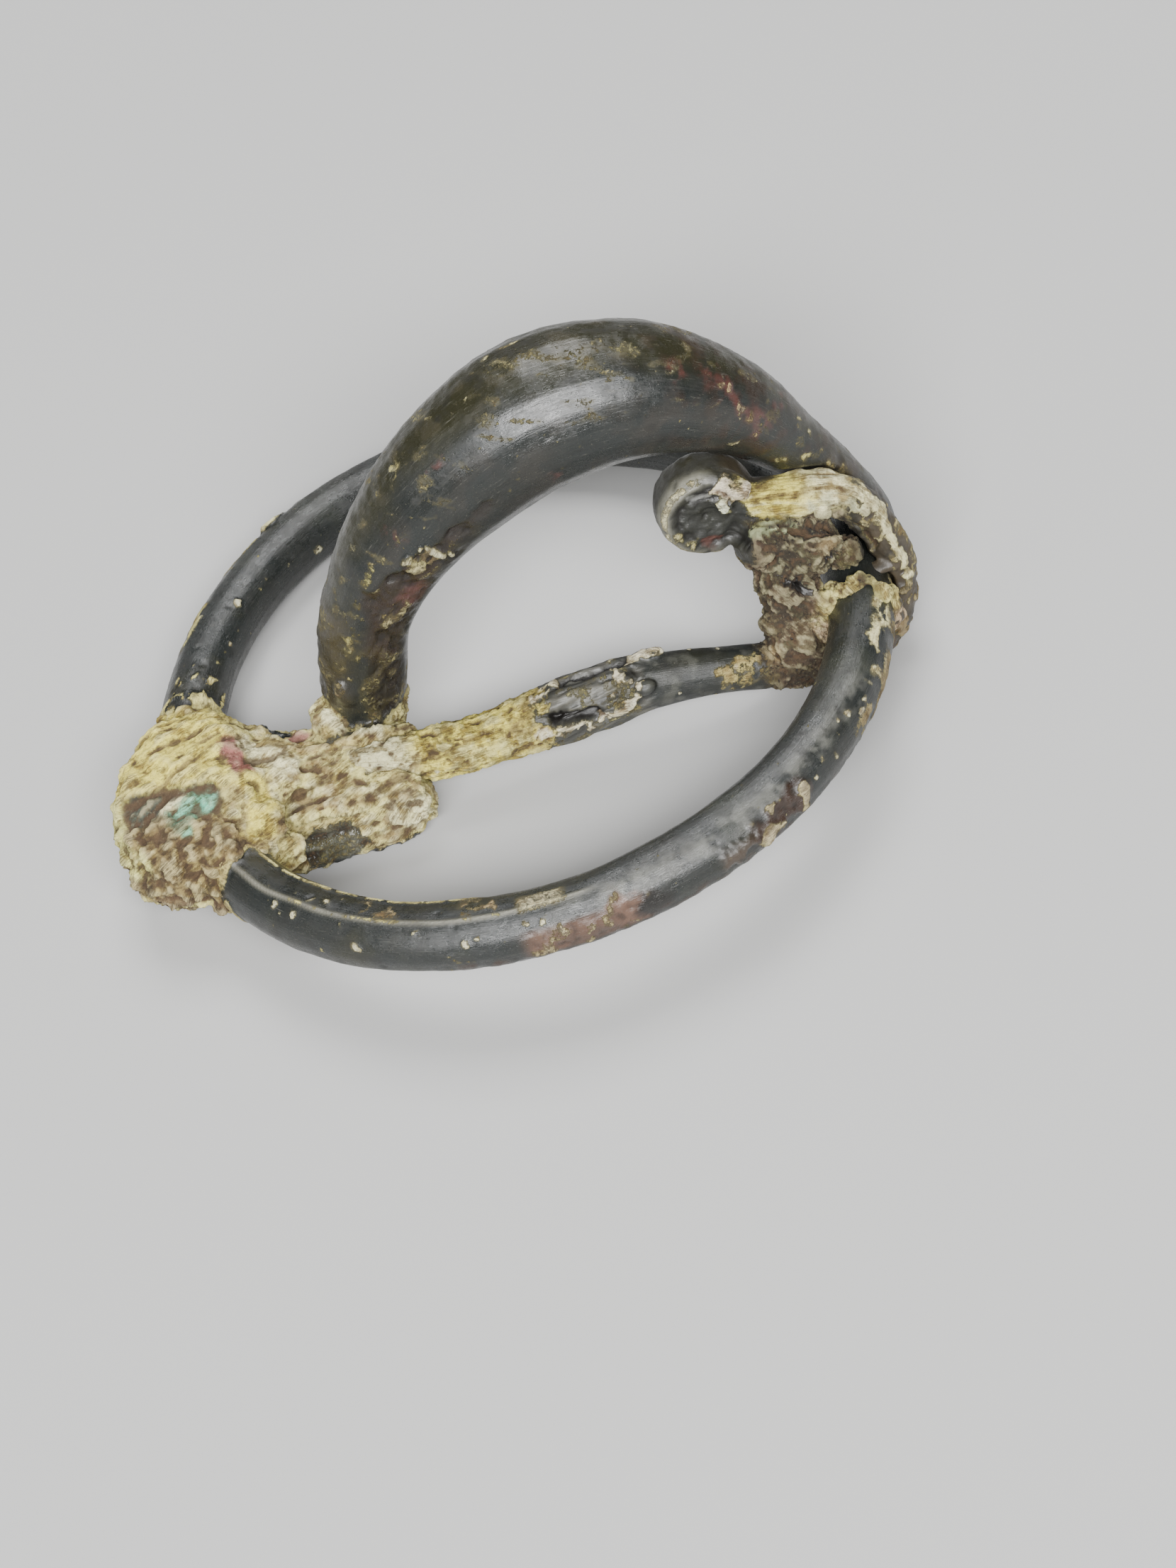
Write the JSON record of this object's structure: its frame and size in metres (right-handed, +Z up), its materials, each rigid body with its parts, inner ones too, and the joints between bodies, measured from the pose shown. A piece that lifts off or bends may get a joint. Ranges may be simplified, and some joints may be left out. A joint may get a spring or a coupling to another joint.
{
  "type": "annular bow brooch",
  "caption": "Ancient cast bronze annular bow brooch: a thick arched bow over a ring, with a catch plate, a boss at the foot and a crusted pin sprung at the head.",
  "frame": {"origin": "under the middle of the brooch, on the surface that it lies on", "axes": "+X from the foot boss to the head, +Y away from the side that the pin lies on, +Z up"},
  "size_m": [0.0458, 0.0412, 0.024],
  "materials": {
    "ring_bronze": "dark patinated bronze, worn semi-gloss, flecked with pale crust",
    "bow_bronze": "dark patinated bronze, polished by wear, with cream and yellow crust at its foot",
    "pin_bronze": "bronze under yellow, brown and cream corrosion crust, dark where bare"
  },
  "bodies": {
    "root": {"ring": "ring_bronze", "bow": "bow_bronze", "pin": "pin_bronze"}
  },
  "joints": []
}
